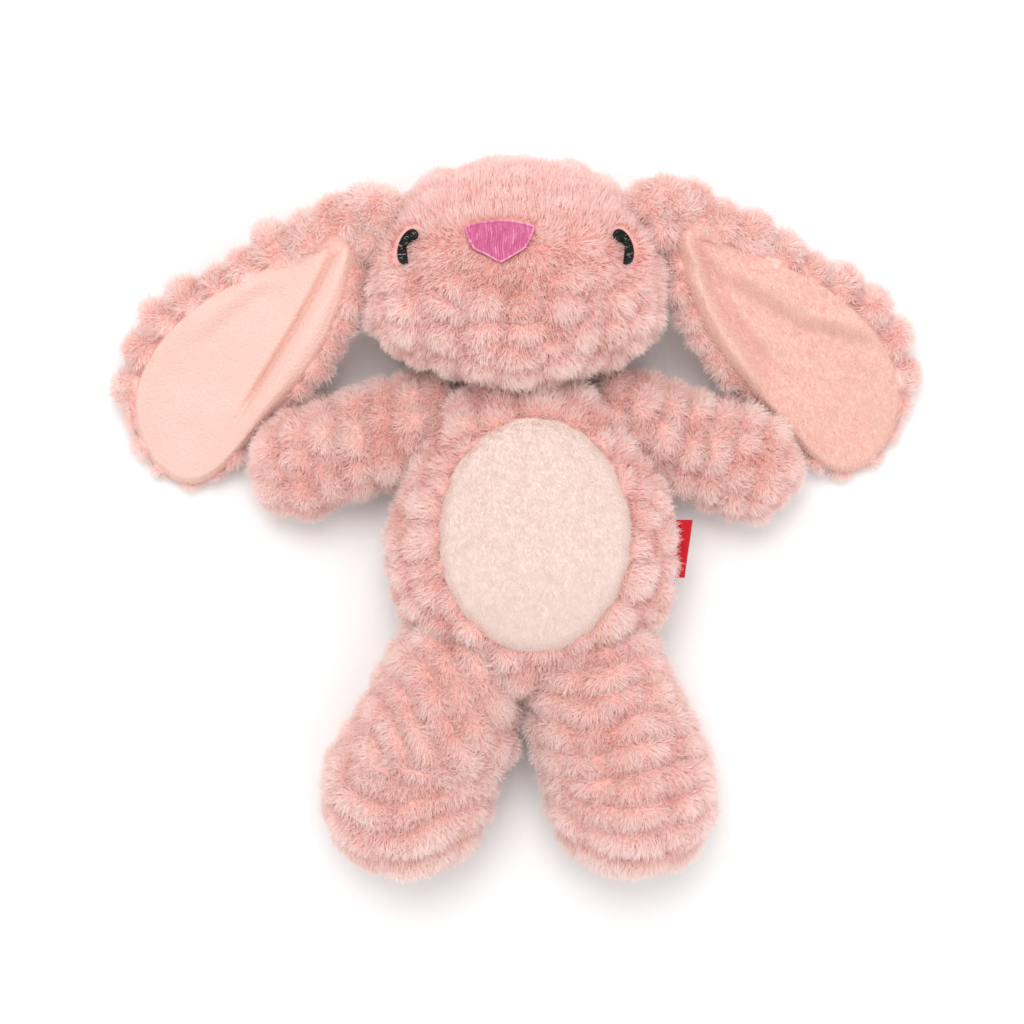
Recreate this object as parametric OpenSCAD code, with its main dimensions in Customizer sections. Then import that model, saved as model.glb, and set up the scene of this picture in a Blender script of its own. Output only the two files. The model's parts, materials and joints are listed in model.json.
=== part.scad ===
// Stuffed plush rabbit lying on its back.
// +Z points up from the back to the tummy, +Y points from the feet to the crown of the head,
// and +X is the side of the rabbit's left arm. The origin is on the resting plane, under the
// middle of the outline. All sizes are in millimetres.
//
// Every stuffed part is a front and a back panel sewn together round one fibre filling.
// Each limb, the head and each ear turn in a cup of the part that carries them.

/* [Body] */
// Thickness of the torso from back to tummy
torso_thick = 58; // [52:1:60]
// Radius of the round belly, seen from the front
torso_half = 49; // [46:0.5:50]
// Radius of the round chest, seen from the front
chest_half = 38; // [34:0.5:40]
// Length of the oval tummy patch
patch_long = 76; // [60:1:80]
// Width of the oval tummy patch
patch_wide = 64; // [50:1:68]

/* [Head] */
// Radius of the head, seen from the side
head_r = 38.5; // [36:0.5:39.5]
// Half of the width of the head
head_half = 50; // [46:1:51]

/* [Arms] */
// Radius of the shoulder end of an arm
shoulder_r = 16; // [14:0.5:17]
// Radius of the paw end of an arm
paw_r = 18.5; // [16:0.5:19.5]
// Distance from the shoulder's centre to the paw's centre
arm_reach = 43; // [38:1:46]

/* [Legs] */
// Radius of the hip end of a leg
hip_r = 23.5; // [20:0.5:23.5]
// Radius of the foot end of a leg
foot_r = 26.5; // [23:0.5:27]
// Distance from the hip's centre to the foot's centre
leg_reach = 41; // [36:1:44]

/* [Ears] */
// Distance from an ear's root to its tip
ear_long = 121; // [112:1:122]
// Width of the blade of an ear
ear_wide = 50; // [46:1:51]
// Thickness of the pile fabric on the back of an ear
ear_pile = 5.5; // [4:0.5:6]
// Thickness of the smooth lining of an ear
ear_lining = 2.5; // [2:0.5:3]

/* [Fabric] */
// Thickness of the pile fabric, pressed flat
wall = 3.5; // [3:0.25:4]
// Running gap between a part and the cup it turns in
cup_gap = 0.6; // [0.5:0.1:1]

/* [Hidden] */

pile_pink = "#e9aea5";
lining_pink = "#f4cabd";
patch_cream = "#f6ddd5";
nose_pink = "#dd79a0";
fibre_white = "#f4f2ee";

far = 400;          // larger than the whole rabbit
sew_gap = 0.1;      // clearance between an insert and the panel round it
fill_gap = 0.15;    // clearance between a filling and its panels
flat_cut = 0.6;     // depth pressed flat where a part rests on its back
ear_reach_in = 22;  // where the oval blade of an ear starts

// Torso: a belly and a chest, each a round cushion revolved about an upright line
torso_at = [5, -9, torso_thick / 2 - flat_cut];
chest_at = [2.5, 14, torso_thick / 2 - flat_cut - 1];
seam_z = 28;
patch_at = [5.5, -6];

// Head: a body of revolution about the line across the head
head_at = [-1, 83.5, 38];

// The rabbit lies facing up, so its left side is on +X. side is 1 there and -1 on its right.
function arm_at(side) = side > 0 ? [38.5, 35, 23] : [-33.5, 34, 23];
function arm_turn(side) = side > 0 ? -24 : 180 + 22;
arm_droop = asin((23 - paw_r + flat_cut / 2) / arm_reach);
arm_lift = 90;
arm_drop = 20;
function leg_at(side) = side > 0 ? [27, -55, 26] : [-22, -56, 26];
function leg_turn(side) = side > 0 ? -90 + 19 : -90 - 21;
leg_lift = 60;
leg_drop = 25;
function ear_at(side) = side > 0 ? [50, 104, 46.7] : [-52, 101, 46.7];
function ear_turn(side) = side > 0 ? -49 : 180 + 50;
ear_slope = 20;

// ---------- shared shapes ----------

// Everything above the plane z = h
module above(h) translate([-far, -far, h]) cube([2 * far, 2 * far, far]);

// Everything below the plane z = h
module below(h) translate([-far, -far, h - far]) cube([2 * far, 2 * far, far]);

// A stuffed limb along +X: round at both ends, with its first centre at the origin
module limb(r_root, r_end, reach, inset) {
    slope = asin((r_end - r_root) / reach);
    rotate([0, 90, 0]) rotate_extrude($fn = 40) polygon(concat(
        [for (i = [0:8]) let (a = -90 + i * (90 - slope) / 8)
            [(r_root - inset) * cos(a), (r_root - inset) * sin(a)]],
        [for (i = [0:8]) let (a = -slope + i * (90 + slope) / 8)
            [(r_end - inset) * cos(a), reach + (r_end - inset) * sin(a)]]
    ));
}

// The room a limb needs as it turns about the Y line, up by lift and down by drop: a cup of
// radius r for its root and a slot, half wide on each side, for the rest of it
module limb_room(r, half, lift, drop) {
    sphere(r = r, $fn = 40);
    rotate([90, 0, 0]) translate([0, 0, -half]) linear_extrude(2 * half) polygon([
        half * [-sin(drop), -cos(drop)],
        half * [-sin(drop), -cos(drop)] + 80 * [cos(drop), -sin(drop)],
        [120, 120],
        half * [-sin(lift), cos(lift)] + 80 * [cos(lift), sin(lift)],
        half * [-sin(lift), cos(lift)]
    ]);
}

// ---------- torso ----------

// One round cushion, revolved about an upright line, with its surface moved in by inset
module cushion(at, half, thick, inset) translate(at) rotate_extrude($fn = 64) polygon(
    [for (i = [0:14]) let (a = -90 + i * 180 / 14)
        [(half - inset) * pow(abs(cos(a)), 0.75),
         (thick / 2 - inset) * sign(sin(a)) * pow(abs(sin(a)), 0.9)]]
);

// The belly and the chest before their cups are cut
module torso_form(inset) intersection() {
    union() {
        cushion(torso_at, torso_half, torso_thick, inset);
        cushion(chest_at, chest_half, torso_thick - 4, inset);
    }
    above(inset);
}

// The space that the head and the limbs need in the torso, grown by grow
module cups(grow) {
    head_round(-cup_gap - grow);
    for (s = [-1, 1]) {
        translate(arm_at(s)) rotate([0, 0, arm_turn(s)])
            limb_room(shoulder_r + cup_gap + grow, paw_r + cup_gap + grow, arm_lift, arm_drop);
        translate(leg_at(s)) rotate([0, 0, leg_turn(s)])
            limb_room(hip_r + cup_gap + grow, foot_r + grow, leg_lift, leg_drop);
    }
}

module torso_shell() {
    difference() {
        torso_form(0);
        cups(0);
        difference() {
            torso_form(wall);
            cups(wall);
        }
    }
}

// The upright oval prism that the tummy patch is cut by, grown by grow
module patch_prism(grow) {
    translate([patch_at.x, patch_at.y, seam_z + 6]) linear_extrude(far)
        scale([patch_wide / patch_long, 1]) circle(r = patch_long / 2 + grow, $fn = 64);
}

// The layer of the tummy between two depths, inside the oval
module on_tummy(top, bottom) intersection() {
    difference() {
        torso_form(top);
        torso_form(bottom);
    }
    children();
}

// The folded ribbon label, or the slot for it, in the side seam
module label_form(gap) {
    translate([torso_at.x + torso_half - wall + 0.5, torso_at.y - 12 - gap, seam_z - 0.7 - gap])
        cube([8, 20 + 2 * gap, 1.4 + 2 * gap]);
}

module torso_front() color(pile_pink) difference() {
    torso_shell();
    below(seam_z);
    on_tummy(0, 2) patch_prism(sew_gap);
    label_form(sew_gap);
}

module torso_back() color(pile_pink) difference() {
    torso_shell();
    above(seam_z);
    label_form(sew_gap);
}

module tummy_patch() color(patch_cream) on_tummy(0.4, 2 - sew_gap) patch_prism(0);

module torso_stuffing() color(fibre_white) difference() {
    torso_form(wall + fill_gap);
    cups(wall + fill_gap);
}

module side_label() color("crimson") label_form(0);

// ---------- head ----------

// The whole round head, with its surface moved in by inset
module head_round(inset) translate(head_at) rotate([0, 90, 0]) rotate_extrude($fn = 48) polygon(
    [for (i = [0:18]) let (a = -90 + 10 * i)
        [(head_r - inset) * pow(abs(cos(a)), 0.92), (head_half - inset) * sin(a)]]
);

// The head as it rests, pressed flat at the back
module head_form(inset) intersection() {
    head_round(inset);
    above(inset);
}

module head_shell() difference() {
    head_form(0);
    head_form(wall);
}

// The shield-shaped outline of the embroidered nose
module nose_prism(grow) {
    translate([head_at.x - 5.3, 90.8, head_at.z]) linear_extrude(far) offset(r = 1 + grow, $fn = 16)
        polygon([[-10, 4.2], [-5, 6], [5, 6], [10, 4.2], [8, -2], [0, -6.5], [-8, -2]]);
}

// The curved outline of one embroidered eye
module eye_prism(side, grow) {
    translate([head_at.x + side * 35.5, 89.4, head_at.z + 6]) rotate([0, 0, side * 12])
        linear_extrude(far) scale([0.42, 1]) circle(r = 6.2 + grow, $fn = 32);
}

// Stitching that lies in a shallow bed of the face panel
module on_face(depth) intersection() {
    difference() {
        head_form(0);
        head_form(depth);
    }
    children();
}

module face_panel() color(pile_pink) difference() {
    head_shell();
    below(head_at.z);
    on_face(1.2) nose_prism(sew_gap);
    for (s = [-1, 1]) on_face(1.2) eye_prism(s, sew_gap);
}

module head_back_panel() color(pile_pink) difference() {
    head_shell();
    above(head_at.z);
}

module head_stuffing() color(fibre_white) head_form(wall + fill_gap);

module nose() color(nose_pink) on_face(1.1) nose_prism(0);

module eye(side) color("black") on_face(1.1) eye_prism(side, 0);

// ---------- ears ----------

// The flat outline of an ear along +X. Its outer edge is on +Y and bows out more than its
// inner edge, which leaves room for the head.
module ear_outline(shrink) {
    blade = ear_long - ear_reach_in;
    offset(delta = -shrink) hull() {
        translate([3, 6]) circle(r = 6, $fn = 32);
        translate([34, 8]) circle(r = 21, $fn = 40);
        translate([ear_long - blade / 2, 8.5]) scale([blade / ear_wide, 1])
            circle(r = ear_wide / 2, $fn = 64);
    }
}

// Places a flat ear on its side of the head, with its hinge line on the Y line
module at_ear(side) translate(ear_at(side)) rotate([0, 0, ear_turn(side)]) rotate([0, ear_slope, 0])
    scale([1, side, 1]) children();

module ear_pile_part(side) color(pile_pink) at_ear(side)
    translate([0, 0, -ear_pile]) linear_extrude(ear_pile) ear_outline(0);

module ear_lining_part(side) color(lining_pink) at_ear(side)
    linear_extrude(ear_lining) ear_outline(5);

// ---------- arms and legs ----------

module at_arm(side) translate(arm_at(side)) rotate([0, 0, arm_turn(side)]) rotate([0, arm_droop, 0])
    children();

module arm_form(side, inset) intersection() {
    at_arm(side) limb(shoulder_r, paw_r, arm_reach, inset);
    above(inset);
}

module at_leg(side) translate(leg_at(side)) rotate([0, 0, leg_turn(side)]) children();

module leg_form(side, inset) intersection() {
    at_leg(side) limb(hip_r, foot_r, leg_reach, inset);
    above(inset);
}

module arm_shell(side) difference() {
    arm_form(side, 0);
    arm_form(side, wall);
}

module leg_shell(side) difference() {
    leg_form(side, 0);
    leg_form(side, wall);
}

module arm_front(side) color(pile_pink) intersection() {
    arm_shell(side);
    at_arm(side) above(0);
}

module arm_back(side) color(pile_pink) difference() {
    arm_shell(side);
    at_arm(side) above(0);
}

module arm_stuffing(side) color(fibre_white) arm_form(side, wall + fill_gap);

module leg_front(side) color(pile_pink) intersection() {
    leg_shell(side);
    at_leg(side) above(0);
}

module leg_back(side) color(pile_pink) difference() {
    leg_shell(side);
    at_leg(side) above(0);
}

module leg_stuffing(side) color(fibre_white) leg_form(side, wall + fill_gap);

// ---------- nodes ----------

torso_front();
torso_back();
tummy_patch();
torso_stuffing();
side_label();
face_panel();
head_back_panel();
head_stuffing();
nose();
eye(1);  // eye_left
eye(-1);  // eye_right
ear_pile_part(1);  // ear_left_pile
ear_lining_part(1);  // ear_left_lining
ear_pile_part(-1);  // ear_right_pile
ear_lining_part(-1);  // ear_right_lining
arm_front(1);  // arm_left_front
arm_back(1);  // arm_left_back
arm_stuffing(1);  // arm_left_stuffing
arm_front(-1);  // arm_right_front
arm_back(-1);  // arm_right_back
arm_stuffing(-1);  // arm_right_stuffing
leg_front(1);  // leg_left_front
leg_back(1);  // leg_left_back
leg_stuffing(1);  // leg_left_stuffing
leg_front(-1);  // leg_right_front
leg_back(-1);  // leg_right_back
leg_stuffing(-1);  // leg_right_stuffing
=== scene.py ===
import json
import math

import bpy
import numpy as np
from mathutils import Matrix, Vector


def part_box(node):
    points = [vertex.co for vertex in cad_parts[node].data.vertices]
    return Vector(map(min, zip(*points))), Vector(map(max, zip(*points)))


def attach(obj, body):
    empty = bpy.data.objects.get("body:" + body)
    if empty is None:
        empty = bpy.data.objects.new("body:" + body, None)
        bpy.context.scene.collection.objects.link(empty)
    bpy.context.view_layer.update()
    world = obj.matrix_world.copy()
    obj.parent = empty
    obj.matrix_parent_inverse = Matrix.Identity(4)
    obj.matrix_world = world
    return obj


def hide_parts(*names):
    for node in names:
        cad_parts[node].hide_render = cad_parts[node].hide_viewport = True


# A plush rabbit lying on its back, its own left on +X. Shapes are worked out in millimetres, in the
# frame of the CAD pack, and written to Blender in metres. Fabric colours are sRGB, from 0 to 255.

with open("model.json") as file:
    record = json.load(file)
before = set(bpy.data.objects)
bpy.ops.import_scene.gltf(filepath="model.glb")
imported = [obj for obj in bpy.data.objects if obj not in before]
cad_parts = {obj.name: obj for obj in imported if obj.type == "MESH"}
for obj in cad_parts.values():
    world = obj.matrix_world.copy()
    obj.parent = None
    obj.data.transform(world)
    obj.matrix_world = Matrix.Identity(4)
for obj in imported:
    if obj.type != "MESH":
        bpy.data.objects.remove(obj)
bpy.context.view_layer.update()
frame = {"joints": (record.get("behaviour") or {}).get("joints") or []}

MM = 0.001
FLOOR_CLEAR = 0.35                  # lowest that fabric or pile comes, above the floor
STRANDS_PER_MM2 = 6.0
STRAND_POINTS = 5
ROOT_DEPTH = 0.3                    # how far into the fabric a strand starts
PILE_LONG = 4.5                     # length of the deep pile
LINING_NAP_LONG = 1.4               # of the ears' velour
PATCH_NAP_LONG = 1.3                # and of the patch's
BODY_TUFTS = 4.6                    # how deep the tufts are on the torso and the head
LIMB_TUFTS = 5.0
EAR_TUFTS = 2.6
LEVEL_TUFT = 0.62                   # the part of a tuft's height that stays where the fabric was
CLOTH_FRAMES = 20
CLOTH_PRESSURE = 4.0

joints = {j["name"]: j for j in frame["joints"]}


def pivot(joint):
    """Where a joint's axis is, in mm."""
    return np.array(joints[joint]["pos_m"], float) / MM


def node_box(node):
    """Lowest and highest corner of a CAD node, in mm."""
    low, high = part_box(node)
    return np.array(low) / MM, np.array(high) / MM


def unit(v):
    return v / np.maximum(np.linalg.norm(v, axis=-1, keepdims=True), 1e-9)


def smooth(lo, hi, x):
    """0 at lo and 1 at hi, with soft ends. lo may be the larger one."""
    t = np.clip((x - lo) / (hi - lo), 0, 1)
    return t * t * (3 - 2 * t)


# ---------- noise ----------

def hashed(cells, seed):
    """Three repeatable random numbers, from 0 to 1, for each whole-number cell."""
    c = cells.astype(np.int64).astype(np.uint64)
    x = c[..., 0] * np.uint64(73856093) ^ c[..., 1] * np.uint64(19349663)
    x = x ^ c[..., 2] * np.uint64(83492791) ^ np.uint64(seed * 2654435761 + 97)
    out = []
    for k in range(3):
        x = (x ^ (x >> np.uint64(15))) * np.uint64(2246822519)
        x = (x ^ (x >> np.uint64(13))) * np.uint64(3266489917)
        x = x ^ (x >> np.uint64(16))
        out.append((x & np.uint64(0xFFFFFF)).astype(float) / 0xFFFFFF)
    return np.stack(out, -1)


def cells_at(q, seed, jitter=(0.7, 0.7, 0.7)):
    """Distances to the nearest and second nearest scattered point, and the way to the nearest."""
    base = np.floor(q)
    first = np.full(len(q), 9.0)
    second = np.full(len(q), 9.0)
    to = np.zeros_like(q)
    for dx in (-1, 0, 1):
        for dy in (-1, 0, 1):
            for dz in (-1, 0, 1):
                c = base + (dx, dy, dz)
                v = c + 0.5 + (hashed(c, seed) - 0.5) * jitter - q
                d = np.sqrt((v * v).sum(1))
                nearer = d < first
                second = np.where(nearer, first, np.minimum(second, d))
                to[nearer] = v[nearer]
                first = np.where(nearer, d, first)
    return first, second, to


def noise3(q, seed):
    """Smooth noise from -1 to 1, three values a point."""
    base = np.floor(q)
    f = q - base
    f = f * f * (3 - 2 * f)
    total = np.zeros((len(q), 3))
    for dx in (0, 1):
        for dy in (0, 1):
            for dz in (0, 1):
                w = (f[:, 0] if dx else 1 - f[:, 0]) * (f[:, 1] if dy else 1 - f[:, 1])
                w = w * (f[:, 2] if dz else 1 - f[:, 2])
                total += w[:, None] * hashed(base + (dx, dy, dz), seed)
    return total * 2 - 1


# ---------- meshes ----------

def mesh_object(name, points, faces):
    mesh = bpy.data.meshes.new(name)
    mesh.from_pydata([tuple(p) for p in np.asarray(points) * MM], [], [tuple(f) for f in faces])
    mesh.update()
    ob = bpy.data.objects.new(name, mesh)
    bpy.context.scene.collection.objects.link(ob)
    return ob


def ball(centre, radii, rings=20, sides=32):
    """Points and faces of an ellipsoid."""
    radii = np.broadcast_to(np.array(radii, float), 3)
    lat = np.linspace(0, math.pi, rings + 1)[1:-1]
    lon = np.linspace(0, 2 * math.pi, sides, endpoint=False)
    pts = [[0, 0, 1]]
    pts += [[math.sin(a) * math.cos(b), math.sin(a) * math.sin(b), math.cos(a)] for a in lat for b in lon]
    pts += [[0, 0, -1]]
    faces = [[0, 1 + i, 1 + (i + 1) % sides] for i in range(sides)]
    for r in range(rings - 2):
        for i in range(sides):
            a, b = 1 + r * sides + i, 1 + r * sides + (i + 1) % sides
            faces.append([a, a + sides, b + sides, b])
    last = len(pts) - 1
    start = last - sides
    faces += [[last, start + (i + 1) % sides, start + i] for i in range(sides)]
    return np.array(pts) * radii + np.array(centre, float), faces


def cushion(centre, half, thick, rings=24, sides=56):
    """Points and faces of a round cushion with full sides."""
    lat = np.linspace(-math.pi / 2, math.pi / 2, rings + 1)
    lon = np.linspace(0, 2 * math.pi, sides, endpoint=False)
    r = half * np.abs(np.cos(lat)) ** 0.75
    z = thick / 2 * np.sign(np.sin(lat)) * np.abs(np.sin(lat)) ** 0.9
    pts = [[0, 0, z[0]]]
    pts += [[r[i] * math.cos(b), r[i] * math.sin(b), z[i]] for i in range(1, rings) for b in lon]
    pts += [[0, 0, z[-1]]]
    faces = [[0, 1 + (i + 1) % sides, 1 + i] for i in range(sides)]
    for k in range(rings - 2):
        for i in range(sides):
            a, b = 1 + k * sides + i, 1 + k * sides + (i + 1) % sides
            faces.append([a, b, b + sides, a + sides])
    last = len(pts) - 1
    start = last - sides
    faces += [[last, start + i, start + (i + 1) % sides] for i in range(sides)]
    return np.array(pts) + centre, faces


def disc(outline, rings, height, thick=0.9):
    """A thin closed sheet: outline is a loop of points in a plane, height gives each its level."""
    loop = np.asarray(outline, float)
    centre = loop.mean(0)
    n = len(loop)
    pts = [centre]
    for k in range(1, rings + 1):
        pts += list(centre + (loop - centre) * (k / rings))
    top = np.array(pts)
    share = np.concatenate([[0.0], np.repeat(np.arange(1, rings + 1) / rings, n)])
    h = height(top, share)
    upper = np.column_stack([top, h])
    lower = np.column_stack([top, h - thick])
    faces = [[0, 1 + i, 1 + (i + 1) % n] for i in range(n)]
    for k in range(rings - 1):
        a0, b0 = 1 + k * n, 1 + (k + 1) * n
        faces += [[a0 + i, b0 + i, b0 + (i + 1) % n, a0 + (i + 1) % n] for i in range(n)]
    m = len(top)
    faces += [[i + m for i in reversed(f)] for f in list(faces)]
    e = 1 + (rings - 1) * n
    faces += [[e + i, e + m + i, e + m + (i + 1) % n, e + (i + 1) % n] for i in range(n)]
    return np.concatenate([upper, lower]), faces


def level_over(points, mid):
    """The height of a surface as a smooth function of place, from its points near mid."""
    powers = [(i, j) for i in range(5) for j in range(5 - i)]

    def terms(xy):
        x, y = ((xy - mid) / 30.0).T
        return np.stack([x ** i * y ** j for i, j in powers], 1)
    fit = np.linalg.lstsq(terms(points[:, :2]), points[:, 2], rcond=None)[0]
    return lambda xy: terms(xy) @ fit


def joined(shapes):
    """Several (points, faces) pairs as one."""
    points, faces, n = [], [], 0
    for p, f in shapes:
        points.append(p)
        faces += [[i + n for i in face] for face in f]
        n += len(p)
    return np.concatenate(points), faces


def baked(ob):
    """Replaces ob's mesh with the result of its modifiers."""
    dg = bpy.context.evaluated_depsgraph_get()
    made = bpy.data.meshes.new_from_object(ob.evaluated_get(dg))
    ob.modifiers.clear()
    old = ob.data
    ob.data = made
    bpy.data.meshes.remove(old)
    return ob


def points_of(ob):
    co = np.zeros(len(ob.data.vertices) * 3)
    ob.data.vertices.foreach_get("co", co)
    return co.reshape(-1, 3) / MM


def normals_of(ob):
    n = np.zeros(len(ob.data.vertices) * 3)
    ob.data.vertex_normals.foreach_get("vector", n)
    return n.reshape(-1, 3)


def set_points(ob, points):
    ob.data.vertices.foreach_set("co", (np.asarray(points) * MM).astype(np.float32).ravel())
    ob.data.update()


def set_value(ob, name, values):
    a = ob.data.attributes.get(name) or ob.data.attributes.new(name, "FLOAT", "POINT")
    a.data.foreach_set("value", values.astype(np.float32))


def skin(name, shapes, voxel=3.0, rounds=12):
    """One closed surface round several overlapping shapes, with its creases softened."""
    ob = mesh_object(name, *joined(shapes))
    m = ob.modifiers.new("skin", "REMESH")
    m.mode = "VOXEL"
    m.voxel_size = voxel * MM
    s = ob.modifiers.new("soft", "SMOOTH")
    s.factor = 0.5
    s.iterations = rounds
    return baked(ob)


def stuffed(ob, swell):
    """Blows the closed skin up as cloth, and caps how far it may move."""
    scene = bpy.context.scene
    start = points_of(ob)
    cloth = ob.modifiers.new("cloth", "CLOTH")
    cloth.settings.quality = 4
    cloth.settings.use_pressure = True
    cloth.settings.uniform_pressure_force = CLOTH_PRESSURE
    cloth.settings.tension_stiffness = 12
    cloth.settings.compression_stiffness = 8
    cloth.settings.shear_stiffness = 8
    cloth.settings.bending_stiffness = 0.4
    cloth.settings.effector_weights.gravity = 0
    cloth.collision_settings.use_collision = False
    cloth.point_cache.frame_start = 1
    cloth.point_cache.frame_end = CLOTH_FRAMES
    for f in range(1, CLOTH_FRAMES + 1):
        scene.frame_set(f)
    dg = bpy.context.evaluated_depsgraph_get()
    moved = np.zeros(len(start) * 3)
    ob.evaluated_get(dg).data.vertices.foreach_get("co", moved)
    ob.modifiers.clear()
    scene.frame_set(1)
    go = moved.reshape(-1, 3) / MM - start
    size = np.linalg.norm(go, axis=1, keepdims=True)
    go *= np.minimum(1, swell / np.maximum(size, 1e-6))
    set_points(ob, start + go)
    return ob


def subdivided(ob, levels):
    m = ob.modifiers.new("fine", "SUBSURF")
    m.levels = levels
    m.render_levels = levels
    return baked(ob)


def off_floor(points):
    """Eases whatever comes near the floor, so that all of it stays above."""
    low = FLOOR_CLEAR + 1.2
    z = points[:, 2]
    points[:, 2] = np.where(z < low, FLOOR_CLEAR + (low - FLOOR_CLEAR) * np.exp((z - low) / 2.0), z)
    return points


def turned(points, degrees):
    """Distances along and across rows that run at this angle, seen from above."""
    d = math.radians(degrees)
    return (points[:, 0] * math.cos(d) + points[:, 1] * math.sin(d),
            -points[:, 0] * math.sin(d) + points[:, 1] * math.cos(d))


def tufts(points, rows, long, wide, seed, warp=3.0, jitter=(0.7, 0.7, 0.7), ribs=0.0):
    """How far up its tuft each point is, from 0 in a crease to 1, for tufts in rows."""
    along, across = rows(points + warp * noise3(points / 24.0, seed))
    q = np.stack([along / long, across / wide, points[:, 2] / (wide * 1.15)], 1)
    f1, f2, _ = cells_at(q, seed + 1, jitter)
    edge = np.clip((f2 - f1) / 0.62, 0, 1)
    rib = np.sqrt(np.clip(1 - (2 * (q[:, 1] % 1) - 1) ** 2, 0, 1))
    return np.clip((1 - ribs) * (0.8 * edge ** 0.5 + 0.2 * (1 - f1 ** 2)) + ribs * rib, 0, 1)


def plush(ob, height, depth, seed):
    """Raises tufts on the smooth surface. height is 0 to 1 a point, depth in mm."""
    points, normals = points_of(ob), normals_of(ob)
    f1, f2, _ = cells_at(points / 3.1, seed)
    small = np.clip((f2 - f1) / 0.6, 0, 1) ** 0.7
    move = depth * (height - LEVEL_TUFT) + 0.75 * (small - 0.5)
    set_points(ob, off_floor(points + normals * move[:, None]))
    # The tuft height is kept on the mesh: it sets the strands' length, and the materials paint shade into the
    # creases from it.
    set_value(ob, "tuft", height)
    return ob


def triangles_of(ob):
    ob.data.calc_loop_triangles()
    t = np.zeros(len(ob.data.loop_triangles) * 3, np.int32)
    ob.data.loop_triangles.foreach_get("vertices", t)
    return t.reshape(-1, 3)


def value_of(ob, name):
    v = np.zeros(len(ob.data.vertices), np.float32)
    ob.data.attributes[name].data.foreach_get("value", v)
    return v.astype(float)


def strands(name, ob, body, material, length, seed, comb=None, keep=None, radius=0.078,
            density=1.0, clump=0.42, clump_size=2.6, spread=0.25, droop=0.1, curl=0.6, mottle=0.2):
    """Pile growing from ob's surface, as hair curves that ride on body."""
    rng = np.random.default_rng(seed)
    points, normals, tris = points_of(ob), normals_of(ob), triangles_of(ob)
    tuft = value_of(ob, "tuft") if "tuft" in ob.data.attributes else np.ones(len(points))
    a, b, c = points[tris[:, 0]], points[tris[:, 1]], points[tris[:, 2]]
    area = np.linalg.norm(np.cross(b - a, c - a), axis=1) / 2
    n = int(area.sum() * STRANDS_PER_MM2 * density)
    pick = rng.choice(len(tris), n, p=area / area.sum())
    r1, r2 = np.sqrt(rng.random(n)), rng.random(n)
    w = np.stack([1 - r1, r1 * (1 - r2), r1 * r2], 1)
    t = tris[pick]
    root = (points[t] * w[:, :, None]).sum(1)
    up = unit((normals[t] * w[:, :, None]).sum(1))
    high = (tuft[t] * w).sum(1)
    if keep is not None:
        ok = keep(root, up)
        root, up, high = root[ok], up[ok], high[ok]
        n = len(root)
    lean = np.zeros((n, 3)) if comb is None else comb(root, up)
    lean = lean - up * (lean * up).sum(1, keepdims=True)
    wild = rng.normal(size=(n, 3)) * spread
    way = unit(up + 0.55 * lean + wild)
    long = length * (0.72 + 0.5 * rng.random(n)) * (0.72 + 0.28 * high)
    _, _, to = cells_at(root / clump_size, seed + 5)
    gather = clump * clump_size * (to - up * (to * up).sum(1, keepdims=True))
    swirl = noise3(root / 4.2, seed + 9)
    swirl = swirl - up * (swirl * up).sum(1, keepdims=True)
    swirl = swirl / (1 + 1.6 * np.linalg.norm(lean, axis=1, keepdims=True))
    bend = 0.45 * lean + curl * 1.5 * swirl + 0.15 * rng.normal(size=(n, 3)) - np.array([0, 0, droop])
    bend = bend - curl * 0.35 * up
    steps = np.linspace(0, 1, STRAND_POINTS)
    p = root[:, None, :] - ROOT_DEPTH * up[:, None, :] + np.zeros((n, STRAND_POINTS, 3))
    for k, s in enumerate(steps):
        p[:, k] += way * (long * s)[:, None] + bend * (long * s * s * 0.7)[:, None] + gather * s ** 1.5
    p[..., 2] = np.maximum(p[..., 2], FLOOR_CLEAR)
    thick = radius * 1.0
    shape = thick * np.array([1.0, 1.0, 0.9, 0.7, 0.25])
    data = bpy.data.hair_curves.new(name)
    data.add_curves([STRAND_POINTS] * n)
    data.attributes["position"].data.foreach_set("vector", (p.reshape(-1, 3) * MM).astype(np.float32).ravel())
    rad = data.attributes.get("radius") or data.attributes.new("radius", "FLOAT", "POINT")
    each = (0.75 + 0.5 * rng.random(n))[:, None] * shape[None, :]
    rad.data.foreach_set("value", (each * MM).astype(np.float32).ravel())
    # Per strand: its tuft height, which paints shade on strands from the creases, plus a random mottle of
    # tone.
    shade_and_tone = data.attributes.new("shade_and_tone", "FLOAT", "POINT")
    deep = np.repeat((high + mottle * swirl[:, 0])[:, None], STRAND_POINTS, 1)
    shade_and_tone.data.foreach_set("value", deep.astype(np.float32).ravel())
    # How far along its strand each point is; the material paints shade towards the root from it.
    step = data.attributes.new("reach", "FLOAT", "POINT")
    step.data.foreach_set("value", np.tile(steps, n).astype(np.float32))
    hair = bpy.data.objects.new(name, data)
    bpy.context.scene.collection.objects.link(hair)
    data.materials.append(material)
    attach(hair, body)
    return hair


# ---------- materials ----------

def linear(colour):
    def one(x):
        x /= 255
        return x / 12.92 if x <= 0.04045 else ((x + 0.055) / 1.055) ** 2.4
    return (*(one(x) for x in colour), 1)


def new_material(name):
    m = bpy.data.materials.new(name)
    m.use_nodes = True
    nodes, links = m.node_tree.nodes, m.node_tree.links
    return m, nodes, links, nodes["Principled BSDF"]


def attribute(nodes, name):
    node = nodes.new("ShaderNodeAttribute")
    node.attribute_name = name
    return node.outputs["Fac"]


def object_noise(nodes, links, scale, detail):
    """Noise fixed to the object, with features 1/scale metres wide."""
    coord = nodes.new("ShaderNodeTexCoord")
    node = nodes.new("ShaderNodeTexNoise")
    node.inputs["Scale"].default_value = scale
    node.inputs["Detail"].default_value = detail
    links.new(coord.outputs["Object"], node.inputs["Vector"])
    return node.outputs["Fac"]


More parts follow.
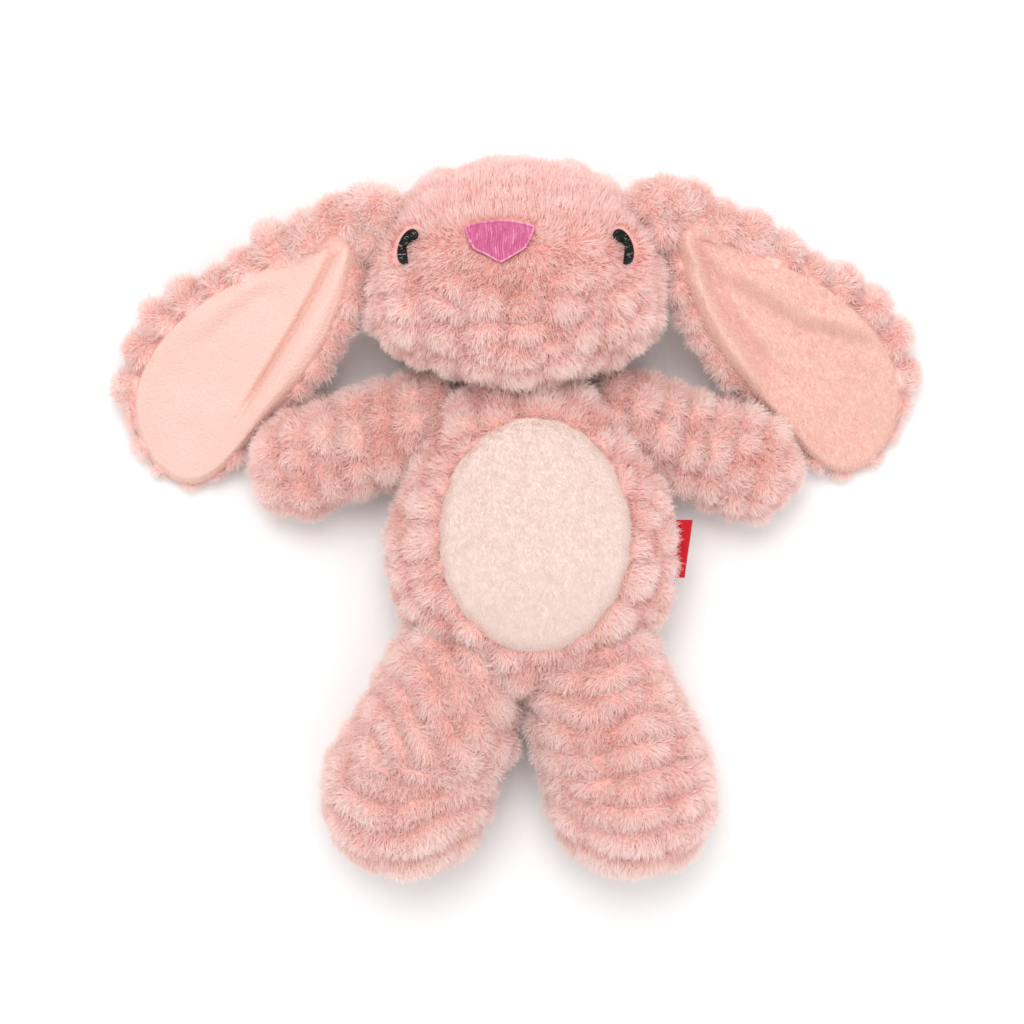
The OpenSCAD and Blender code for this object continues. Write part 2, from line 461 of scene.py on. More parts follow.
def times(nodes, links, value, factor, plus=None):
    """The socket value * factor, or value * factor + plus."""
    node = nodes.new("ShaderNodeMath")
    node.operation = "MULTIPLY" if plus is None else "MULTIPLY_ADD"
    links.new(value, node.inputs[0])
    node.inputs[1].default_value = factor
    if plus is not None:
        links.new(plus, node.inputs[2])
    return node.outputs[0]


def ramp(nodes, links, places, colours, value):
    """The colour for a value, between colours at the given places."""
    r = nodes.new("ShaderNodeValToRGB")
    e = r.color_ramp.elements
    stops = [(place, linear(colour)) for place, colour in zip(places, colours)]
    e[0].position, e[0].color = stops[0]
    e[1].position, e[1].color = stops[-1]
    for place, colour in stops[1:-1]:
        e.new(place).color = colour
    links.new(value, r.inputs["Fac"])
    return r.outputs["Color"]


def strand_material(name, root, middle, tip, glow=0.35):
    """Soft fibre, part translucent: painted shade darkens it towards the root and on strands that grow from
    the creases, so the tips are the lightest.
    """
    m, nodes, links, _ = new_material(name)
    info = nodes.new("ShaderNodeHairInfo")
    shade = times(nodes, links, attribute(nodes, "reach"), 0.42)
    shade = times(nodes, links, attribute(nodes, "shade_and_tone"), 0.62, shade)
    shade = times(nodes, links, info.outputs["Random"], 0.18, shade)
    colour = ramp(nodes, links, (0.16, 0.6, 1.0), (root, middle, tip), shade)
    diffuse = nodes.new("ShaderNodeBsdfDiffuse")
    through = nodes.new("ShaderNodeBsdfTranslucent")
    links.new(colour, diffuse.inputs["Color"])
    links.new(colour, through.inputs["Color"])
    shader = nodes.new("ShaderNodeMixShader")
    shader.inputs["Fac"].default_value = glow
    links.new(diffuse.outputs[0], shader.inputs[1])
    links.new(through.outputs[0], shader.inputs[2])
    links.new(shader.outputs[0], nodes["Material Output"].inputs["Surface"])
    return m


def cloth_material(name, deep, main, light, grain=900.0, bump=0.25, rough=0.92, weave=False, sheen=0.25):
    """Matt fabric: colour follows the tufts, with painted shade in the creases between them, and a fine nap.
    """
    m, nodes, links, bsdf = new_material(name)
    fine = object_noise(nodes, links, grain, 4.0)
    shade = times(nodes, links, fine, 0.5, attribute(nodes, "tuft"))
    shade = times(nodes, links, object_noise(nodes, links, 90.0, 3.0), 0.4, shade)
    shade = times(nodes, links, shade, 0.62)
    links.new(ramp(nodes, links, (0.45, 0.95, 1.0), (deep, main, light), shade), bsdf.inputs["Base Color"])
    bsdf.inputs["Roughness"].default_value = rough
    bsdf.inputs["Sheen Weight"].default_value = sheen
    bsdf.inputs["Sheen Roughness"].default_value = 0.5
    bsdf.inputs["Specular IOR Level"].default_value = 0.2
    height = fine
    if weave:
        coord = nodes.new("ShaderNodeTexCoord")
        cells = nodes.new("ShaderNodeTexVoronoi")
        cells.inputs["Scale"].default_value = 1050.0
        links.new(coord.outputs["Object"], cells.inputs["Vector"])
        height = times(nodes, links, cells.outputs["Distance"], -0.9, fine)
    bmp = nodes.new("ShaderNodeBump")
    bmp.inputs["Strength"].default_value = bump
    bmp.inputs["Distance"].default_value = 0.0006
    links.new(height, bmp.inputs["Height"])
    links.new(bmp.outputs["Normal"], bsdf.inputs["Normal"])
    return m


# The pile backing's darkest colour is painted shade, for the creases between tufts.
PILE_BASE = cloth_material("pile_backing", (228, 160, 151), (248, 206, 198), (253, 218, 211))
LINING = cloth_material("lining_velour", (232, 186, 174), (242, 205, 194), (247, 217, 208),
                        grain=1500.0, bump=0.5, weave=True)
PATCH = cloth_material("patch_velour", (234, 214, 207), (238, 221, 214), (242, 228, 222),
                       grain=1500.0, bump=0.5, weave=True)
NOSE = cloth_material("nose_satin_thread", (180, 74, 120), (210, 114, 152), (232, 158, 188),
                      grain=2600.0, bump=0.2, rough=0.5, sheen=0.1)
EYE = cloth_material("eye_thread", (9, 8, 10), (17, 16, 18), (27, 25, 28),
                     grain=2600.0, bump=0.15, rough=0.6, sheen=0.03)
RIBBON = cloth_material("label_ribbon", (190, 2, 26), (222, 6, 38), (236, 40, 66),
                        grain=3000.0, bump=0.25, rough=0.6, weave=True)
# Strand colours from root to tip: the darker root colours are painted shade deep in the pile.
PILE = strand_material("pile_fibre", (231, 160, 151), (254, 223, 217), (255, 240, 236))
LINING_NAP = strand_material("lining_nap", (234, 193, 182), (243, 210, 200), (249, 224, 216))
PATCH_NAP = strand_material("patch_nap", (241, 224, 217), (244, 230, 224), (248, 236, 231))


def finished(ob, material, body, nodes):
    """Gives a piece its material and body, and hides the CAD nodes it replaces."""
    ob.data.materials.clear()
    ob.data.materials.append(material)
    for p in ob.data.polygons:
        p.use_smooth = True
    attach(ob, body)
    if nodes:
        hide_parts(*nodes)
    return ob


# ---------- torso ----------

torso_low, torso_high = node_box("torso_back")
patch_low, patch_high = node_box("tummy_patch")
BELLY_Y, BELLY_Z = -9.0, 28.4
belly = np.array([(torso_low[0] + torso_high[0]) / 2, BELLY_Y, BELLY_Z])
belly_half = (torso_high[0] - torso_low[0]) / 2
patch_mid = (patch_low + patch_high) / 2
patch_half = (patch_high - patch_low)[:2] / 2 + (0.3, 1.6)


def in_patch(points):
    """How far out from the patch's middle each point is: 1 at its edge, far more on the back."""
    d = (points[:, :2] - patch_mid[:2]) / patch_half
    return np.where(points[:, 2] > belly[2], np.linalg.norm(d, axis=1), 9.0)


def torso_comb(root, up):
    """Pile lies away from the patch beside it, and down the body elsewhere."""
    out = root - np.array([patch_mid[0], patch_mid[1], 0])
    out[:, 2] = 0
    near = smooth(1.5, 1.0, in_patch(root))[:, None]
    return 0.7 * near * unit(out) + (1 - near) * np.array([0, -0.3, 0])


torso = skin("torso_plush", [
    cushion(belly, belly_half - 0.8, 53.0),
    cushion((2.5, 14, 27.4), 36.5, 49.5),
    ball((4.5, -27, 26.5), (47.5, 20, 22)),
    ball((2.5, -47, 26), (20, 15, 20)),
    ball((3, 33, 26), (27, 12, 20)),
])
torso = subdivided(stuffed(torso, 1.2), 2)
height = tufts(points_of(torso), lambda p: turned(p, 20), 12.0, 9.5, 11)
flat = smooth(1.04, 0.96, in_patch(points_of(torso)))
torso_level = level_over(points_of(torso)[in_patch(points_of(torso)) < 1.1], patch_mid[:2])
torso = plush(torso, height * (1 - flat) + 0.5 * flat, BODY_TUFTS, 21)
finished(torso, PILE_BASE, "torso", ["torso_front", "torso_back", "torso_stuffing"])
strands("torso_pile", torso, "torso", PILE, PILE_LONG, 31, torso_comb,
        keep=lambda r, u: in_patch(r) > 0.985)


angles = np.linspace(0, 2 * math.pi, 160, endpoint=False)
loop = np.stack([patch_mid[0] + patch_half[0] * np.cos(angles),
                 patch_mid[1] + patch_half[1] * np.sin(angles)], 1)


def patch_level(xy, share):
    """The patch lies on the torso, a little uneven, and is sewn down at its edge."""
    soft = 0.4 * noise3(np.column_stack([xy / 19.0, xy[:, :1] * 0]), 41)[:, 0]
    return torso_level(xy) + 1.5 + soft - 1.6 * smooth(0.9, 1.0, share)


patch = mesh_object("patch_velour", *disc(loop, 44, patch_level))
set_value(patch, "tuft", np.full(len(patch.data.vertices), 0.75))
finished(patch, PATCH, "torso", ["tummy_patch"])
strands("patch_nap", patch, "torso", PATCH_NAP, PATCH_NAP_LONG, 43,
        lambda r, u: np.array([0.3, -1.2, 0]) + 0 * r, keep=lambda r, u: u[:, 2] > 0.2,
        radius=0.048, density=2.2, clump=0.06, clump_size=0.8,
        spread=0.3, droop=0, curl=0.12, mottle=0.05)

# The label is one ribbon folded over, its two ends caught in the side seam.
label_low, label_high = node_box("side_label")
label_half = (label_high[1] - label_low[1]) / 2
label_y = (label_low[1] + label_high[1]) / 2
section = [(-6.0, 0.55), (-3.0, 0.5), (0.0, 0.45), (0.35, 0.3), (0.5, 0.0), (0.35, -0.3), (0.0, -0.45),
           (-3.0, -0.5), (-6.0, -0.55)]
section = [np.array(p) + (label_high[0] - 0.6, label_low[2] + 0.7) for p in section]
LABEL_ROWS = 40
rows_y = np.linspace(-label_half, label_half, LABEL_ROWS)
ribbon = []
for y in rows_y:
    lean = 0.14 * (y + label_half) - 1.6
    for k, (x, z) in enumerate(section):
        wave = 0.5 * math.sin(y * 0.28) * (x - 50) / 8
        ribbon.append((x + lean * (1 - abs(k - 4) / 9), label_y + y, z + wave))
ribbon = np.array(ribbon)
n = len(section)
faces = [[a * n + k, a * n + k + 1, (a + 1) * n + k + 1, (a + 1) * n + k]
         for a in range(LABEL_ROWS - 1) for k in range(n - 1)]
label = mesh_object("side_label_ribbon", ribbon, faces)
solid = label.modifiers.new("thick", "SOLIDIFY")
solid.thickness = 0.3 * MM
solid.offset = 0
label = baked(label)
finished(label, RIBBON, "torso", ["side_label"])


# ---------- limbs ----------

ARM_REACH, ARM_HEIGHT = 43.0, 18.6
SHOULDER_R, PAW_R = 15.4, 17.6
LEG_REACH, LEG_HEIGHT = 42.4, 27.4
HIP_R, FOOT_R = 22.4, 27.0


def limb_shapes(root, end, r_root, r_end, extra):
    """A row of balls from root to end that overlap to make a limb, and one extra shape."""
    steps = np.linspace(0, 1, 9)
    shapes = [ball(root + (end - root) * s, r_root + (r_end - r_root) * s, rings=16, sides=28)
              for s in steps]
    return shapes + [extra]


def limb_end(joint, reach, height):
    """Where the free end of a limb is: square to its hinge, reach away."""
    at = pivot(joint)
    axis = np.array(joints[joint]["axis"], float)
    out = np.array([-axis[1], axis[0], 0.0])
    end = at + out * reach
    end[2] = height
    return at, end, out


for side, seed, direction in (("left", 110, 78), ("right", 120, 98)):
    at, end, out = limb_end(f"arm_{side}_lift", ARM_REACH, ARM_HEIGHT)
    end[1] += 1.8
    paw = ball(end + out * 1.6, (17.4, 18.2, 16.6))
    arm = skin(f"arm_{side}_plush", limb_shapes(at, end, SHOULDER_R, PAW_R, paw))
    arm = subdivided(stuffed(arm, 1.0), 2)
    height = tufts(points_of(arm), lambda p: turned(p, direction), 13.5, 9.6, seed,
                   jitter=(0.7, 0.4, 0.7), ribs=0.25)
    plush(arm, height, LIMB_TUFTS, seed + 1)
    finished(arm, PILE_BASE, f"arm_{side}", [f"arm_{side}_{k}" for k in ("front", "back", "stuffing")])
    strands(f"arm_{side}_pile", arm, f"arm_{side}", PILE, PILE_LONG, seed + 2,
            lambda r, u, out=out: 0.25 * out + np.array([0, -0.2, 0]) + 0 * r, spread=0.3)


def leg_rows(axis_x, high_turn):
    """Rows slant on the thigh and curl round the foot."""
    def rows(p):
        along, across = turned(p, high_turn)
        foot = smooth(-84, -95, p[:, 1])
        curl = p[:, 1] - 0.0145 * (p[:, 0] - axis_x) ** 2
        return along * (1 - foot) + p[:, 0] * foot, across * (1 - foot) + curl * foot
    return rows


for side, seed, high_turn, foot_x, inner in (("left", 210, 3, 42, (20.5, -72.0)),
                                             ("right", 220, -54, -40, (-17.0, -74.0))):
    at, end, out = limb_end(f"leg_{side}_lift", LEG_REACH, LEG_HEIGHT)
    end[0] -= 1.6
    thigh = ball((inner[0], inner[1], 25.0), (15.5, 15.5, 18.0))
    leg = skin(f"leg_{side}_plush", limb_shapes(at, end, HIP_R, FOOT_R, thigh))
    leg = subdivided(stuffed(leg, 1.0), 2)
    height = tufts(points_of(leg), leg_rows(foot_x, high_turn), 24.0, 9.6, seed, warp=4.2,
                   jitter=(0.8, 0.32, 0.6), ribs=0.4)
    plush(leg, height, LIMB_TUFTS, seed + 1)
    finished(leg, PILE_BASE, f"leg_{side}", [f"leg_{side}_{k}" for k in ("front", "back", "stuffing")])
    strands(f"leg_{side}_pile", leg, f"leg_{side}", PILE, PILE_LONG, seed + 2,
            lambda r, u, out=out: 0.2 * out + np.array([0, -0.3, 0]) + 0 * r, spread=0.28)


# ---------- head ----------

head_at = pivot("neck_nod")
head_low, head_high = node_box("face_panel")
head_half = (head_high[0] - head_low[0]) / 2
head_r = head_high[2] - head_at[2]
nose_low, nose_high = node_box("nose")
nose_mid = (nose_low + nose_high) / 2
EYES = {"left": node_box("eye_left"), "right": node_box("eye_right")}

head = skin("head_plush", [
    ball(head_at, (head_half - 0.8, head_r - 1.8, head_r - 2.6), rings=32, sides=48),
    ball(head_at + (-27, -9, 2), (22, 22, 26)),
    ball(head_at + (27, -9, 2), (22, 22, 26)),
    ball(head_at + (1, -18.5, 9), (31, 19.5, 23)),
])
head = subdivided(stuffed(head, 1.0), 2)


def nose_loop(count=240):
    """Outline of the nose: a shield with a broad arched top and a blunt point below."""
    corners = np.array([(-11.4, 3.6), (-11.2, 4.8), (-5.5, 6.1), (0, 6.5), (5.5, 6.1), (11.2, 4.8),
                        (11.4, 3.6), (10.3, 0.3), (8.4, -2.9), (4.6, -5.3), (1.2, -7.3), (-0.4, -7.3),
                        (-4.2, -5.1), (-8.4, -2.9), (-10.3, 0.3)])
    n = len(corners)
    t = np.linspace(0, n, count, endpoint=False)
    i, f = t.astype(int), (t % 1)[:, None]
    a, b, c, d = (corners[(i + k) % n] for k in (-1, 0, 1, 2))
    bend, twist = 2 * a - 5 * b + 4 * c - d, 3 * b - a - 3 * c + d
    return 0.5 * (2 * b + (c - a) * f + bend * f ** 2 + twist * f ** 3)


def inside(loop, xy):
    """True for the points of xy within the loop."""
    x, y = xy[:, 0], xy[:, 1]
    out = np.zeros(len(xy), bool)
    a, b = loop, np.roll(loop, -1, 0)
    for (x0, y0), (x1, y1) in zip(a, b):
        if y0 == y1:
            continue
        out ^= ((y0 > y) != (y1 > y)) & (x < (x1 - x0) * (y - y0) / (y1 - y0) + x0)
    return out


def eye_loop(side, grow=0.0, count=96):
    """Outline of an eye: a crescent, full on its outer side, hooked at the top and thinner below."""
    s = 1 if side == "left" else -1
    low, high = EYES[side]
    mid = (low + high) / 2
    half = count // 2
    a = np.radians(np.linspace(-105, 128, half))
    b = np.radians(np.linspace(118, -100, half))
    outer = np.stack([(3.5 + grow) * np.cos(a), (6.1 + grow) * np.sin(a)], 1)
    low_end = np.clip(-np.sin(b), 0, 1)
    inner = np.stack([(2.3 + 0.9 * low_end - grow) * np.cos(b) - 1.2,
                      (4.2 + 1.2 * low_end - grow) * np.sin(b) - 0.2], 1)
    loop = np.concatenate([outer, inner])
    tilt = 0.3
    c, k = math.cos(tilt), math.sin(tilt)
    loop = np.stack([loop[:, 0] * c - loop[:, 1] * k, loop[:, 0] * k + loop[:, 1] * c], 1)
    loop[:, 0] *= s
    return (loop if s > 0 else loop[::-1]) + mid[:2]


nose_line = nose_loop() + nose_mid[:2]
eye_lines = {side: eye_loop(side) for side in EYES}


def level_near(points, line):
    """The height of the face round an outline."""
    mid = line.mean(0)
    reach = np.abs(line - mid).max(0) + 3
    near = (np.abs(points[:, :2] - mid) < reach).all(1) & (points[:, 2] > head_at[2])
    return level_over(points[near], mid)


def head_comb(root, up):
    """Pile lies up over the crown and down over the muzzle, and outwards on both."""
    d = root - nose_mid
    crown = smooth(-6, 8, d[:, 1])[:, None]
    out = np.sign(d[:, 0]) * np.clip(np.abs(d[:, 0]) / 40, 0, 1)
    sideways = np.stack([out, 0 * out, 0 * out], 1)
    over_crown = np.array([0, 1.15, 0]) + 0.4 * sideways
    over_muzzle = np.array([0, -0.5, 0]) + 0.5 * sideways
    return crown * over_crown + (1 - crown) * over_muzzle


p = points_of(head)
levels = {"nose": level_near(p, nose_line)}
levels.update({side: level_near(p, eye_lines[side]) for side in EYES})
height = tufts(p, lambda p: turned(p, 3), 14.0, 9.2, 311, warp=5.0, jitter=(0.7, 0.55, 0.7))
calm = smooth(-26, 0, p[:, 1] - nose_mid[1]) * smooth(head_at[2] - 5, head_at[2] + 20, p[:, 2])
# The crown's tufts are calmer; their middle height also gives the crown a middle share of the painted crease
# shade.
height = height * (1 - 0.74 * calm) + 0.45 * 0.74 * calm
front = p[:, 2] > head_at[2]
flat = smooth(14, 8, np.hypot((p[:, 0] - nose_mid[0]) * 0.75, p[:, 1] - nose_mid[1])) * front
for side in EYES:
    mid = eye_lines[side].mean(0)
    flat = np.maximum(flat, smooth(8, 5, np.hypot((p[:, 0] - mid[0]) * 1.4, p[:, 1] - mid[1])) * front)
plush(head, height * (1 - flat) + 0.55 * flat, BODY_TUFTS, 312)
finished(head, PILE_BASE, "head", ["face_panel", "head_back_panel", "head_stuffing"])


def off_face(root, up):
    """True for the strands that don't grow under the nose or an eye."""
    top = root[:, 2] > head_at[2]
    covered = inside(nose_line, root[:, :2])
    for side in EYES:
        covered |= inside(eye_loop(side, 1.5), root[:, :2])
    return ~(covered & top)


strands("head_pile", head, "head", PILE, PILE_LONG, 313, head_comb, spread=0.24, clump=0.55, keep=off_face)


def stitched(name, line, level, material, node, raise_by, border, pitch, rings):
    """Satin stitch: threads side by side up the shape, and a cord of stitches round its edge."""
    mid = line.mean(0)

    def thread(xy):
        """Each thread's own number, and how far up its round back each point is."""
        x = (xy[:, 0] - mid[0] + 0.2 * np.sin(xy[:, 1] * 0.8)) / pitch
        return np.floor(x), np.sqrt(np.clip(1 - (2 * (x % 1) - 1) ** 2, 0, 1))

    def height(xy, share):
        wave = thread(xy)[1]
        edge = smooth(border, border + 0.03, share) * (1 - smooth(0.985, 1.0, share) * 0.8)
        return level(xy) + raise_by + 0.3 * wave * (1 - edge) + 0.6 * edge
    ob = mesh_object(name, *disc(line, rings, height, 1.2))
    top = np.concatenate([[0.0], np.repeat(np.arange(1, rings + 1) / rings, len(line))])
    xy = points_of(ob)[:len(top), :2]
    number, wave = thread(xy)
    own = hashed(np.stack([number, np.floor(xy[:, 1] / 2.4 + number * 0.37), 0 * number], 1), 78)[:, 0]
    # Each thread is painted lighter up its round back and darker at its sides, a painted highlight and shade;
    # own gives each thread its own tone, and the edge cord is lighter.
    shade_and_tone = np.where(top > border, 1.0 + 0.25 * own, 0.1 + 0.75 * own * wave + 0.35 * wave)
    set_value(ob, "tuft", np.concatenate([shade_and_tone, shade_and_tone]))
    return finished(ob, material, "head", [node])


stitched("nose_stitching", nose_line, levels["nose"], NOSE, "nose",
         raise_by=1.9, border=0.91, pitch=0.8, rings=44)
for side in EYES:
    stitched(f"eye_{side}_stitching", eye_lines[side], levels[side], EYE, f"eye_{side}",
             raise_by=3.0, border=0.8, pitch=0.55, rings=14)


# ---------- ears ----------

EAR_SLOPE = math.radians(20)


def ear_frame(side):
    """Places an ear: along it from the root, across it and up from its lining side."""
    joint = f"ear_{side}_lift"
    at = pivot(joint)
    axis = np.array(joints[joint]["axis"], float)
    out = np.array([-axis[1], axis[0], 0.0])
    across = np.array([-out[1], out[0], 0.0]) * (1 if side == "left" else -1)
    along = out * math.cos(EAR_SLOPE) - np.array([0, 0, math.sin(EAR_SLOPE)])
    up = out * math.sin(EAR_SLOPE) + np.array([0, 0, math.cos(EAR_SLOPE)])

    def place(local):
        return at + local[:, :1] * along + local[:, 1:2] * across + local[:, 2:3] * up

    def back(world):
        d = world - at
        return np.stack([d @ along, d @ across, d @ up], 1)
    return place, back


def hull(points):
    """The convex outline round some points."""
    pts = sorted(map(tuple, points))

    def half(seq):
        out = []
        for p in seq:
            while len(out) > 1 and ((out[-1][0] - out[-2][0]) * (p[1] - out[-2][1])
                                    - (out[-1][1] - out[-2][1]) * (p[0] - out[-2][0])) <= 0:
                out.pop()
            out.append(p)
        return out[:-1]
    return np.array(half(pts) + half(pts[::-1]))


def even(loop, count):
    """The loop again, with its points spread evenly."""
    closed = np.vstack([loop, loop[:1]])
    d = np.concatenate([[0], np.cumsum(np.linalg.norm(np.diff(closed, axis=0), axis=1))])
    t = np.linspace(0, d[-1], count, endpoint=False)
    return np.stack([np.interp(t, d, closed[:, k]) for k in (0, 1)], 1)


def ear_loop(grow, count):
    """Outline of an ear, moved out by grow(along, across)."""
    a = np.linspace(0, 2 * math.pi, 120, endpoint=False)
    ring = np.stack([np.cos(a), np.sin(a)], 1)
    root, middle, blade = ring * 6 + (3, 6), ring * 21 + (34, 8), ring * (49.5, 25) + (71.5, 8.5)
    loop = even(hull(np.concatenate([root, middle, blade])), 240)
    for _ in range(6):
        loop = (np.roll(loop, 1, 0) + loop + np.roll(loop, -1, 0)) / 3
    way = np.roll(loop, -1, 0) - np.roll(loop, 1, 0)
    out = unit(np.stack([way[:, 1], -way[:, 0]], 1))
    return even(loop + out * grow(loop[:, 0], loop[:, 1])[:, None], count)


def ear_grow(base):
    """How far the pile side reaches past the plain outline, all round and at each stretch of it."""
    def grow(along, across):
        outer = smooth(4, 20, across) * smooth(116, 96, along)
        inner = smooth(-2, -10, across) * smooth(8, 24, along) * smooth(74, 56, along)
        root = smooth(6, 20, across) * smooth(74, 44, along)
        tip = smooth(98, 114, along) * smooth(-6, 8, across)
        corner = smooth(88, 106, along) * smooth(6, -4, across)
        return base + 3.2 * outer + 5.0 * inner - 10.0 * root - 1.6 * tip + 5.0 * corner
    return grow


LINING_EDGE = [(5, 1), (10, 5), (20, 8), (30, 14.5), (44, 21.5), (58, 27), (76, 31), (92, 30.5), (105, 26.5),
               (115, 18), (120.5, 8), (121, -3), (116, -10.5), (106, -14), (92, -15), (80, -15.5),
               (66, -16.5), (52, -17), (38, -15.5), (24, -12), (12, -6), (6, -2)]


def lining_loop(count):
    """Outline of an ear's lining: narrow at the root and nearly as wide as the pile side at the tip."""
    loop = even(np.array(LINING_EDGE[::-1], float), 240)
    for _ in range(14):
        loop = (np.roll(loop, 1, 0) + loop + np.roll(loop, -1, 0)) / 3
    return even(loop, count)


def cup(along, across):
    """How far the rims of an ear curl up."""
    return (2.6 * smooth(8, 34, across) + 2.2 * smooth(6, -20, across) * smooth(74, 52, along)
            + 1.2 * smooth(30, 0, along))


def distance_to(curve, xy):
    """Signed distance from a curve across(along): positive on its outer side."""
    along = np.array([c[0] for c in curve], float)
    across = np.array([c[1] for c in curve], float)
    slope = np.gradient(across, along)
    c = np.interp(xy[:, 0], along, across)
    s = np.interp(xy[:, 0], along, slope)
    return (xy[:, 1] - c) / np.sqrt(1 + s * s)


def bump_at(x, size):
    """A soft ridge, 1 high at x = 0."""
    return np.exp(-(x / size) ** 2)


def lining_left(xy):
    """Rolled inner edge with a deep pocket beside it, and one soft fold over the middle."""
    roll = distance_to([(4, 1), (12, -2.5), (24, -8), (38, -11.5), (52, -13), (66, -13), (90, -13)], xy)
    near = smooth(2, 12, xy[:, 0]) * smooth(80, 60, xy[:, 0])
    h = near * (3.8 * bump_at(roll, 3.0) - 3.0 * bump_at(roll - 6.6, 2.9))
    fold = distance_to([(28, 0), (38, 3), (61, 10), (72, 18), (84, 25)], xy)
    over = smooth(24, 38, xy[:, 0]) * smooth(92, 72, xy[:, 0])
    h += over * (2.6 * bump_at(fold - 5.0, 4.2) - 1.5 * bump_at(fold + 1.5, 3.6))
    gather = smooth(34, 8, xy[:, 0])
    return h + gather * 1.1 * np.sin((xy[:, 1] - 6) * (0.9 + 6 / (xy[:, 0] + 12)))


def lining_right(xy):
    """A long crease from the root with a raised strip on its inner side."""
    crease = distance_to([(4, 2), (17, 0.5), (30, -2), (47, -4.5), (69, -6.5), (86, -8), (100, -10)], xy)
    run = smooth(4, 14, xy[:, 0]) * smooth(96, 66, xy[:, 0])
    h = run * (3.3 * bump_at(crease + 6.0, 4.4) - 2.9 * bump_at(crease - 0.3, 1.3)
               - 1.0 * bump_at(crease - 5, 6.0))
    dent = distance_to([(36, 10), (46, 14), (58, 17), (74, 18)], xy)
    beside = smooth(34, 46, xy[:, 0]) * smooth(76, 58, xy[:, 0])
    h += beside * (1.0 * bump_at(dent - 3, 3.0) - 1.1 * bump_at(dent + 2, 3.4))
    low = distance_to([(60, 14), (78, 18), (92, 17)], xy)
    h -= 1.1 * bump_at(low, 7) * smooth(58, 70, xy[:, 0]) * smooth(100, 86, xy[:, 0])
    return h


def pom_poms(place, seed):
    """The round tufts along the rim of an ear."""
    shapes = []
    rim = ear_loop(ear_grow(-3.6), 600)
    length = np.linalg.norm(np.roll(rim, -1, 0) - rim, axis=1)
    rng = np.random.default_rng(seed)
    walked, wanted = 0.0, 4.0
    for i, (u, v) in enumerate(rim):
        walked += length[i]
        if walked < wanted:
            continue
        outer = smooth(4, 14, v) * smooth(112, 100, u)
        walked, wanted = 0.0, 8.4 + 3.8 * outer + 1.2 * rng.random()
        big = 4.3 + 1.6 * outer + 1.0 * smooth(40, 10, u) + 0.4 * rng.random()
        big -= 0.5 * smooth(0, -10, v) * smooth(58, 70, u)
        level = cup(np.array([u]), np.array([v]))[0] - 3.2 + 2.4 * smooth(8, 20, v) * smooth(60, 20, u)
        radii = (big * (1.15 + 0.25 * outer), big, min(big, 5.2))
        points, faces = ball((0, 0, 0), radii, rings=12, sides=18)
        way = np.roll(rim, -1, 0)[i] - rim[i - 1]
        a = math.atan2(way[1], way[0]) + math.pi / 2
        c, s = math.cos(a), math.sin(a)
        points = np.stack([points[:, 0] * c - points[:, 1] * s + u,
                           points[:, 0] * s + points[:, 1] * c + v, points[:, 2] + level], 1)
        shapes.append((place(points), faces))
    return shapes


def root_balls(place):
    """The thick gathered root of an ear, against the head."""
    shapes = []
    for u, v, r in ((-5, -4, 6.5), (-3, 1.5, 6.5), (3, 3.5, 6.5), (10, 6, 6.5), (4, -6, 6.0), (18, 10, 6.5)):
        points, faces = ball((u, v, -1.2), (r, r, min(r, 6.2)), rings=14, sides=20)
        shapes.append((place(points), faces))
    return shapes


def ear_pile(side, seed, place, back, line):
    """The pile side of an ear, with its strands. None grow under the lining, whose outline is line."""
    plate_line = ear_loop(ear_grow(-5.5), 200)
    plate, faces = disc(plate_line, 24, lambda xy, share: cup(xy[:, 0], xy[:, 1]) - 1.7, 3.4)
    shapes = [(place(plate), faces)] + pom_poms(place, seed) + root_balls(place)
    ear = subdivided(skin(f"ear_{side}_pile_side", shapes, voxel=1.8, rounds=3), 1)
    tall = tufts(points_of(ear), lambda p: turned(p, 30), 11.0, 9.5, seed)
    plush(ear, 0.5 + 0.5 * tall, EAR_TUFTS, seed + 1)
    finished(ear, PILE_BASE, f"ear_{side}", [f"ear_{side}_pile"])

    def uncovered(root, up):
        local = back(root)
        return ~(inside(line, local[:, :2]) & (local[:, 2] > -3.0))
    strands(f"ear_{side}_pile_hair", ear, f"ear_{side}", PILE, PILE_LONG * 0.92, seed + 2,
            lambda r, u: np.array([0, 0, 0.05]) + 0 * r, keep=uncovered, spread=0.26)


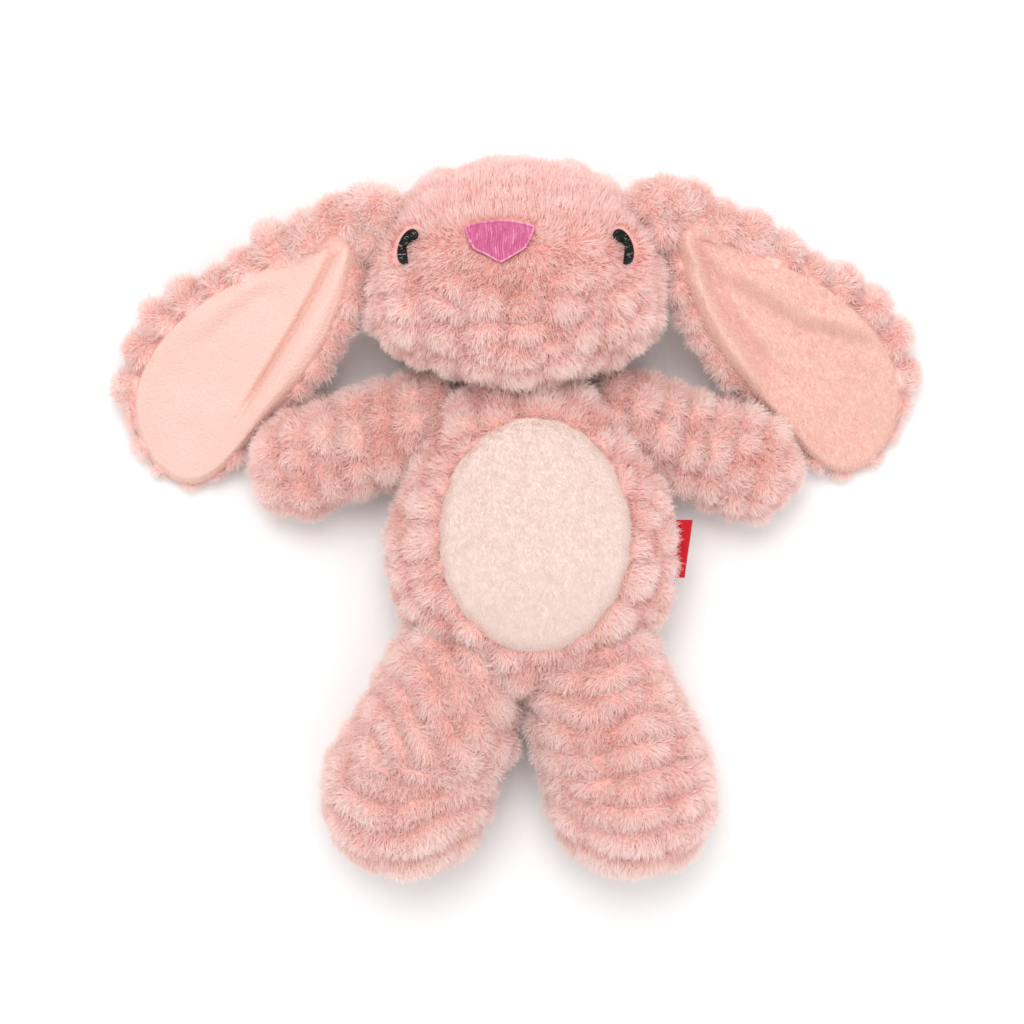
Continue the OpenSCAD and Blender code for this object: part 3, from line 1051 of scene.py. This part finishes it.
def ear_lining(side, seed, place, folds, line):
    """The velour side of an ear, with its folds, tucked in at the edge."""
    def level(xy, share):
        soft = 0.5 * noise3(np.column_stack([xy / 15.0, 0 * xy[:, :1]]), seed + 3)[:, 0]
        fade = 1 - smooth(0.86, 0.99, share)
        fold = (folds(xy) + soft) * (0.35 + 0.65 * fade)
        return 2.7 + cup(xy[:, 0], xy[:, 1]) + fold - 3.4 * smooth(0.93, 1.0, share)
    points, faces = disc(line, 64, level, 0.9)
    lining = mesh_object(f"ear_{side}_lining_sheet", place(points), faces)
    set_value(lining, "tuft", np.full(len(points), 0.75))
    finished(lining, LINING, f"ear_{side}", [f"ear_{side}_lining"])
    sideways = 0.2 if side == "left" else -0.2
    strands(f"ear_{side}_nap", lining, f"ear_{side}", LINING_NAP, LINING_NAP_LONG, seed + 4,
            lambda r, u: np.array([sideways, -0.9, 0]) + 0 * r, keep=lambda r, u: u[:, 2] > 0.2,
            radius=0.055, density=1.1, clump=0.1, clump_size=1.1, spread=0.35, droop=0, curl=0.12,
            mottle=0.05)


for side, seed, folds in (("left", 410, lining_left), ("right", 430, lining_right)):
    place, back = ear_frame(side)
    lining_line = lining_loop(240)
    ear_pile(side, seed, place, back, lining_line)
    ear_lining(side, seed, place, folds, lining_line)


# ---------- camera, light and floor ----------

scene = bpy.context.scene
scene.view_settings.view_transform = "Standard"
camera = bpy.data.objects.new("camera", bpy.data.cameras.new("camera"))
camera.data.lens = 85
camera.data.sensor_width = 36
scene.collection.objects.link(camera)
scene.camera = camera
CAMERA_AT = (-0.0022, 0.0017, 0.863)
camera.location = CAMERA_AT
camera.data.clip_start, camera.data.clip_end = 0.05, 20

FLOOR_HALF = 6000
corners = [(x * FLOOR_HALF, y * FLOOR_HALF, 0) for x, y in ((-1, -1), (1, -1), (1, 1), (-1, 1))]
floor = mesh_object("floor", corners, [[0, 1, 2, 3]])
fm, nodes, links, bsdf = new_material("floor_paper")
bsdf.inputs["Base Color"].default_value = (0.93, 0.925, 0.925, 1)
bsdf.inputs["Roughness"].default_value = 0.9
bsdf.inputs["Specular IOR Level"].default_value = 0.1
floor.data.materials.append(fm)

world = bpy.data.worlds.new("studio")
scene.world = world
world.use_nodes = True
world.node_tree.nodes["Background"].inputs["Color"].default_value = (1, 0.995, 0.99, 1)
world.node_tree.nodes["Background"].inputs["Strength"].default_value = 0.82


def area_light(name, at, size, watts):
    """A round light that faces the middle of the scene."""
    data = bpy.data.lights.new(name, "AREA")
    data.shape = "DISK"
    data.size = size
    data.energy = watts
    ob = bpy.data.objects.new(name, data)
    scene.collection.objects.link(ob)
    ob.location = at
    ob.rotation_mode = "QUATERNION"
    ob.rotation_quaternion = Vector(at).to_track_quat("Z", "Y")


area_light("key", (-0.1, 0.5, 1.35), 0.8, 10.0)
area_light("fill", (0.7, -0.3, 1.3), 1.2, 2.5)
